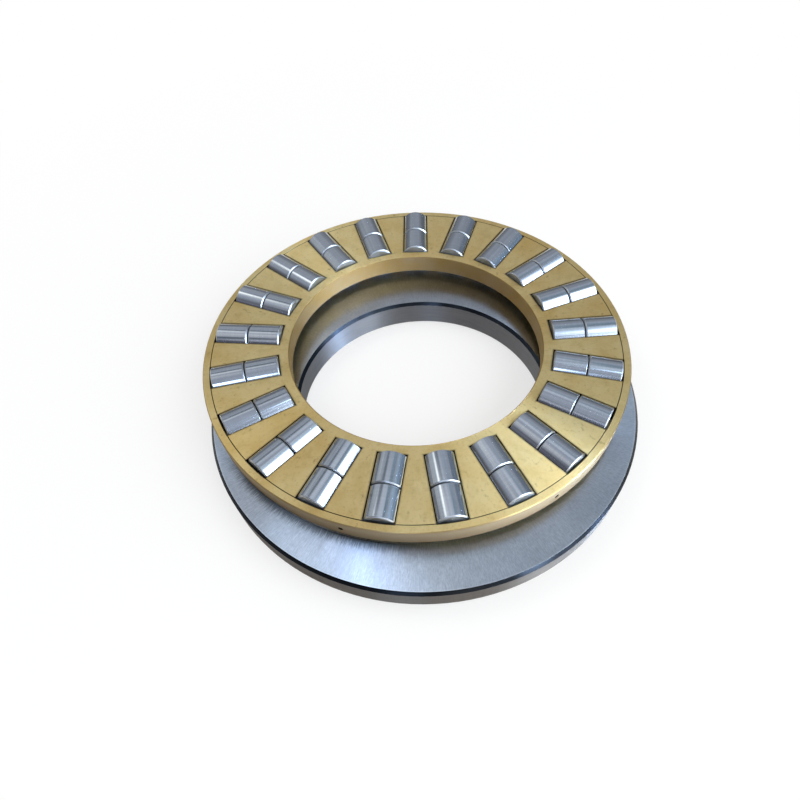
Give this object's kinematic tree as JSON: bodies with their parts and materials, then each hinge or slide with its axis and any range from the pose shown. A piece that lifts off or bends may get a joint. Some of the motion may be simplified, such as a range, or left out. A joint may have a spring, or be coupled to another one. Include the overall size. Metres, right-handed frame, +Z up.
{
  "type": "double row cylindrical roller thrust bearing",
  "caption": "Thrust bearing: a flat steel washer and a brass cage that holds two rows of short cylindrical rollers, end to end in radial pockets.",
  "frame": {"origin": "on the axis of the washer's bore, at its back face", "axes": "+Z up along the washer's axis, out of its raceway; +Y towards the side that the cage overhangs"},
  "size_m": [0.242, 0.264, 0.0341],
  "materials": {
    "washer_steel": "hardened and ground, chamfers left dark from heat treatment",
    "cage_brass": "turned, satin",
    "roller_steel": "ground and polished",
    "pin_steel": "plain"
  },
  "bodies": {
    "washer": {"thrust_washer": "washer_steel"},
    "cage": {"cage_body": "cage_brass", "cage_rim": "cage_brass", "rim_pins": "pin_steel"},
    "inner_roller_01": {"roller_inner_01": "roller_steel"},
    "inner_roller_02": {"roller_inner_02": "roller_steel"},
    "inner_roller_03": {"roller_inner_03": "roller_steel"},
    "inner_roller_04": {"roller_inner_04": "roller_steel"},
    "inner_roller_05": {"roller_inner_05": "roller_steel"},
    "inner_roller_06": {"roller_inner_06": "roller_steel"},
    "inner_roller_07": {"roller_inner_07": "roller_steel"},
    "inner_roller_08": {"roller_inner_08": "roller_steel"},
    "inner_roller_09": {"roller_inner_09": "roller_steel"},
    "inner_roller_10": {"roller_inner_10": "roller_steel"},
    "inner_roller_11": {"roller_inner_11": "roller_steel"},
    "inner_roller_12": {"roller_inner_12": "roller_steel"},
    "inner_roller_13": {"roller_inner_13": "roller_steel"},
    "inner_roller_14": {"roller_inner_14": "roller_steel"},
    "inner_roller_15": {"roller_inner_15": "roller_steel"},
    "inner_roller_16": {"roller_inner_16": "roller_steel"},
    "inner_roller_17": {"roller_inner_17": "roller_steel"},
    "inner_roller_18": {"roller_inner_18": "roller_steel"},
    "inner_roller_19": {"roller_inner_19": "roller_steel"},
    "inner_roller_20": {"roller_inner_20": "roller_steel"},
    "inner_roller_21": {"roller_inner_21": "roller_steel"},
    "outer_roller_01": {"roller_outer_01": "roller_steel"},
    "outer_roller_02": {"roller_outer_02": "roller_steel"},
    "outer_roller_03": {"roller_outer_03": "roller_steel"},
    "outer_roller_04": {"roller_outer_04": "roller_steel"},
    "outer_roller_05": {"roller_outer_05": "roller_steel"},
    "outer_roller_06": {"roller_outer_06": "roller_steel"},
    "outer_roller_07": {"roller_outer_07": "roller_steel"},
    "outer_roller_08": {"roller_outer_08": "roller_steel"},
    "outer_roller_09": {"roller_outer_09": "roller_steel"},
    "outer_roller_10": {"roller_outer_10": "roller_steel"},
    "outer_roller_11": {"roller_outer_11": "roller_steel"},
    "outer_roller_12": {"roller_outer_12": "roller_steel"},
    "outer_roller_13": {"roller_outer_13": "roller_steel"},
    "outer_roller_14": {"roller_outer_14": "roller_steel"},
    "outer_roller_15": {"roller_outer_15": "roller_steel"},
    "outer_roller_16": {"roller_outer_16": "roller_steel"},
    "outer_roller_17": {"roller_outer_17": "roller_steel"},
    "outer_roller_18": {"roller_outer_18": "roller_steel"},
    "outer_roller_19": {"roller_outer_19": "roller_steel"},
    "outer_roller_20": {"roller_outer_20": "roller_steel"},
    "outer_roller_21": {"roller_outer_21": "roller_steel"}
  },
  "joints": [
    {"name": "cage_spin", "type": "hinge", "parent": "washer", "child": "cage", "pos_m": [-0.003, 0.025, 0.02501], "axis": [0, 0, 1], "continuous": true},
    {"name": "inner_spin_01", "type": "hinge", "parent": "cage", "child": "inner_roller_01", "pos_m": [-0.00057, 0.11207, 0.0251], "axis": [0.0279, 0.9996, 0], "continuous": true},
    {"name": "inner_spin_02", "type": "hinge", "parent": "cage", "child": "inner_roller_02", "pos_m": [0.02499, 0.10748, 0.0251], "axis": [0.3213, 0.947, 0], "continuous": true},
    {"name": "inner_spin_03", "type": "hinge", "parent": "cage", "child": "inner_roller_03", "pos_m": [0.04806, 0.09557, 0.0251], "axis": [0.5862, 0.8102, 0], "continuous": true},
    {"name": "inner_spin_04", "type": "hinge", "parent": "cage", "child": "inner_roller_04", "pos_m": [0.06659, 0.07738, 0.0251], "axis": [0.7989, 0.6014, 0], "continuous": true},
    {"name": "inner_spin_05", "type": "hinge", "parent": "cage", "child": "inner_roller_05", "pos_m": [0.07894, 0.05454, 0.0251], "axis": [0.9407, 0.3392, 0], "continuous": true},
    {"name": "inner_spin_06", "type": "hinge", "parent": "cage", "child": "inner_roller_06", "pos_m": [0.084, 0.02908, 0.0251], "axis": [0.9989, 0.0469, 0], "continuous": true},
    {"name": "inner_spin_07", "type": "hinge", "parent": "cage", "child": "inner_roller_07", "pos_m": [0.08134, 0.00326, 0.0251], "axis": [0.9683, -0.2497, 0], "continuous": true},
    {"name": "inner_spin_08", "type": "hinge", "parent": "cage", "child": "inner_roller_08", "pos_m": [0.07119, -0.02064, 0.0251], "axis": [0.8517, -0.524, 0], "continuous": true},
    {"name": "inner_spin_09", "type": "hinge", "parent": "cage", "child": "inner_roller_09", "pos_m": [0.05444, -0.04048, 0.0251], "axis": [0.6594, -0.7518, 0], "continuous": true},
    {"name": "inner_spin_10", "type": "hinge", "parent": "cage", "child": "inner_roller_10", "pos_m": [0.03259, -0.0545, 0.0251], "axis": [0.4086, -0.9127, 0], "continuous": true},
    {"name": "inner_spin_11", "type": "hinge", "parent": "cage", "child": "inner_roller_11", "pos_m": [0.00757, -0.06146, 0.0251], "axis": [0.1214, -0.9926, 0], "continuous": true},
    {"name": "inner_spin_12", "type": "hinge", "parent": "cage", "child": "inner_roller_12", "pos_m": [-0.01838, -0.06073, 0.0251], "axis": [-0.1766, -0.9843, 0], "continuous": true},
    {"name": "inner_spin_13", "type": "hinge", "parent": "cage", "child": "inner_roller_13", "pos_m": [-0.04297, -0.05239, 0.0251], "axis": [-0.4589, -0.8885, 0], "continuous": true},
    {"name": "inner_spin_14", "type": "hinge", "parent": "cage", "child": "inner_roller_14", "pos_m": [-0.064, -0.03717, 0.0251], "axis": [-0.7004, -0.7138, 0], "continuous": true},
    {"name": "inner_spin_15", "type": "hinge", "parent": "cage", "child": "inner_roller_15", "pos_m": [-0.07962, -0.01643, 0.0251], "axis": [-0.8796, -0.4756, 0], "continuous": true},
    {"name": "inner_spin_16", "type": "hinge", "parent": "cage", "child": "inner_roller_16", "pos_m": [-0.08842, 0.008, 0.0251], "axis": [-0.9808, -0.1952, 0], "continuous": true},
    {"name": "inner_spin_17", "type": "hinge", "parent": "cage", "child": "inner_roller_17", "pos_m": [-0.08964, 0.03393, 0.0251], "axis": [-0.9947, 0.1025, 0], "continuous": true},
    {"name": "inner_spin_18", "type": "hinge", "parent": "cage", "child": "inner_roller_18", "pos_m": [-0.08316, 0.05907, 0.0251], "axis": [-0.9203, 0.3912, 0], "continuous": true},
    {"name": "inner_spin_19", "type": "hinge", "parent": "cage", "child": "inner_roller_19", "pos_m": [-0.06955, 0.08119, 0.0251], "axis": [-0.7641, 0.6451, 0], "continuous": true},
    {"name": "inner_spin_20", "type": "hinge", "parent": "cage", "child": "inner_roller_20", "pos_m": [-0.05004, 0.09831, 0.0251], "axis": [-0.54, 0.8416, 0], "continuous": true},
    {"name": "inner_spin_21", "type": "hinge", "parent": "cage", "child": "inner_roller_21", "pos_m": [-0.02634, 0.10891, 0.0251], "axis": [-0.268, 0.9634, 0], "continuous": true},
    {"name": "outer_spin_01", "type": "hinge", "parent": "cage", "child": "outer_roller_01", "pos_m": [-0.00005, 0.13076, 0.0251], "axis": [0.0279, 0.9996, 0], "continuous": true},
    {"name": "outer_spin_02", "type": "hinge", "parent": "cage", "child": "outer_roller_02", "pos_m": [0.031, 0.12519, 0.0251], "axis": [0.3213, 0.947, 0], "continuous": true},
    {"name": "outer_spin_03", "type": "hinge", "parent": "cage", "child": "outer_roller_03", "pos_m": [0.05902, 0.11072, 0.0251], "axis": [0.5862, 0.8102, 0], "continuous": true},
    {"name": "outer_spin_04", "type": "hinge", "parent": "cage", "child": "outer_roller_04", "pos_m": [0.08153, 0.08863, 0.0251], "axis": [0.7989, 0.6014, 0], "continuous": true},
    {"name": "outer_spin_05", "type": "hinge", "parent": "cage", "child": "outer_roller_05", "pos_m": [0.09653, 0.06089, 0.0251], "axis": [0.9407, 0.3392, 0], "continuous": true},
    {"name": "outer_spin_06", "type": "hinge", "parent": "cage", "child": "outer_roller_06", "pos_m": [0.10268, 0.02996, 0.0251], "axis": [0.9989, 0.0469, 0], "continuous": true},
    {"name": "outer_spin_07", "type": "hinge", "parent": "cage", "child": "outer_roller_07", "pos_m": [0.09945, -0.00141, 0.0251], "axis": [0.9683, -0.2497, 0], "continuous": true},
    {"name": "outer_spin_08", "type": "hinge", "parent": "cage", "child": "outer_roller_08", "pos_m": [0.08711, -0.03044, 0.0251], "axis": [0.8517, -0.524, 0], "continuous": true},
    {"name": "outer_spin_09", "type": "hinge", "parent": "cage", "child": "outer_roller_09", "pos_m": [0.06677, -0.05454, 0.0251], "axis": [0.6594, -0.7518, 0], "continuous": true},
    {"name": "outer_spin_10", "type": "hinge", "parent": "cage", "child": "outer_roller_10", "pos_m": [0.04023, -0.07157, 0.0251], "axis": [0.4086, -0.9127, 0], "continuous": true},
    {"name": "outer_spin_11", "type": "hinge", "parent": "cage", "child": "outer_roller_11", "pos_m": [0.00984, -0.08002, 0.0251], "axis": [0.1214, -0.9926, 0], "continuous": true},
    {"name": "outer_spin_12", "type": "hinge", "parent": "cage", "child": "outer_roller_12", "pos_m": [-0.02168, -0.07914, 0.0251], "axis": [-0.1766, -0.9843, 0], "continuous": true},
    {"name": "outer_spin_13", "type": "hinge", "parent": "cage", "child": "outer_roller_13", "pos_m": [-0.05155, -0.069, 0.0251], "axis": [-0.4589, -0.8885, 0], "continuous": true},
    {"name": "outer_spin_14", "type": "hinge", "parent": "cage", "child": "outer_roller_14", "pos_m": [-0.0771, -0.05052, 0.0251], "axis": [-0.7004, -0.7138, 0], "continuous": true},
    {"name": "outer_spin_15", "type": "hinge", "parent": "cage", "child": "outer_roller_15", "pos_m": [-0.09607, -0.02532, 0.0251], "axis": [-0.8796, -0.4756, 0], "continuous": true},
    {"name": "outer_spin_16", "type": "hinge", "parent": "cage", "child": "outer_roller_16", "pos_m": [-0.10676, 0.00435, 0.0251], "axis": [-0.9808, -0.1952, 0], "continuous": true},
    {"name": "outer_spin_17", "type": "hinge", "parent": "cage", "child": "outer_roller_17", "pos_m": [-0.10824, 0.03585, 0.0251], "axis": [-0.9947, 0.1025, 0], "continuous": true},
    {"name": "outer_spin_18", "type": "hinge", "parent": "cage", "child": "outer_roller_18", "pos_m": [-0.10037, 0.06639, 0.0251], "axis": [-0.9203, 0.3912, 0], "continuous": true},
    {"name": "outer_spin_19", "type": "hinge", "parent": "cage", "child": "outer_roller_19", "pos_m": [-0.08384, 0.09325, 0.0251], "axis": [-0.7641, 0.6451, 0], "continuous": true},
    {"name": "outer_spin_20", "type": "hinge", "parent": "cage", "child": "outer_roller_20", "pos_m": [-0.06014, 0.11405, 0.0251], "axis": [-0.54, 0.8416, 0], "continuous": true},
    {"name": "outer_spin_21", "type": "hinge", "parent": "cage", "child": "outer_roller_21", "pos_m": [-0.03135, 0.12693, 0.0251], "axis": [-0.268, 0.9634, 0], "continuous": true}
  ],
  "couplings": [
    {"joint": "inner_spin_01", "follows": "cage_spin", "ratio": -9.6778},
    {"joint": "inner_spin_02", "follows": "cage_spin", "ratio": -9.6778},
    {"joint": "inner_spin_03", "follows": "cage_spin", "ratio": -9.6778},
    {"joint": "inner_spin_04", "follows": "cage_spin", "ratio": -9.6778},
    {"joint": "inner_spin_05", "follows": "cage_spin", "ratio": -9.6778},
    {"joint": "inner_spin_06", "follows": "cage_spin", "ratio": -9.6778},
    {"joint": "inner_spin_07", "follows": "cage_spin", "ratio": -9.6778},
    {"joint": "inner_spin_08", "follows": "cage_spin", "ratio": -9.6778},
    {"joint": "inner_spin_09", "follows": "cage_spin", "ratio": -9.6778},
    {"joint": "inner_spin_10", "follows": "cage_spin", "ratio": -9.6778},
    {"joint": "inner_spin_11", "follows": "cage_spin", "ratio": -9.6778},
    {"joint": "inner_spin_12", "follows": "cage_spin", "ratio": -9.6778},
    {"joint": "inner_spin_13", "follows": "cage_spin", "ratio": -9.6778},
    {"joint": "inner_spin_14", "follows": "cage_spin", "ratio": -9.6778},
    {"joint": "inner_spin_15", "follows": "cage_spin", "ratio": -9.6778},
    {"joint": "inner_spin_16", "follows": "cage_spin", "ratio": -9.6778},
    {"joint": "inner_spin_17", "follows": "cage_spin", "ratio": -9.6778},
    {"joint": "inner_spin_18", "follows": "cage_spin", "ratio": -9.6778},
    {"joint": "inner_spin_19", "follows": "cage_spin", "ratio": -9.6778},
    {"joint": "inner_spin_20", "follows": "cage_spin", "ratio": -9.6778},
    {"joint": "inner_spin_21", "follows": "cage_spin", "ratio": -9.6778},
    {"joint": "outer_spin_01", "follows": "cage_spin", "ratio": -11.756},
    {"joint": "outer_spin_02", "follows": "cage_spin", "ratio": -11.756},
    {"joint": "outer_spin_03", "follows": "cage_spin", "ratio": -11.756},
    {"joint": "outer_spin_04", "follows": "cage_spin", "ratio": -11.756},
    {"joint": "outer_spin_05", "follows": "cage_spin", "ratio": -11.756},
    {"joint": "outer_spin_06", "follows": "cage_spin", "ratio": -11.756},
    {"joint": "outer_spin_07", "follows": "cage_spin", "ratio": -11.756},
    {"joint": "outer_spin_08", "follows": "cage_spin", "ratio": -11.756},
    {"joint": "outer_spin_09", "follows": "cage_spin", "ratio": -11.756},
    {"joint": "outer_spin_10", "follows": "cage_spin", "ratio": -11.756},
    {"joint": "outer_spin_11", "follows": "cage_spin", "ratio": -11.756},
    {"joint": "outer_spin_12", "follows": "cage_spin", "ratio": -11.756},
    {"joint": "outer_spin_13", "follows": "cage_spin", "ratio": -11.756},
    {"joint": "outer_spin_14", "follows": "cage_spin", "ratio": -11.756},
    {"joint": "outer_spin_15", "follows": "cage_spin", "ratio": -11.756},
    {"joint": "outer_spin_16", "follows": "cage_spin", "ratio": -11.756},
    {"joint": "outer_spin_17", "follows": "cage_spin", "ratio": -11.756},
    {"joint": "outer_spin_18", "follows": "cage_spin", "ratio": -11.756},
    {"joint": "outer_spin_19", "follows": "cage_spin", "ratio": -11.756},
    {"joint": "outer_spin_20", "follows": "cage_spin", "ratio": -11.756},
    {"joint": "outer_spin_21", "follows": "cage_spin", "ratio": -11.756}
  ]
}
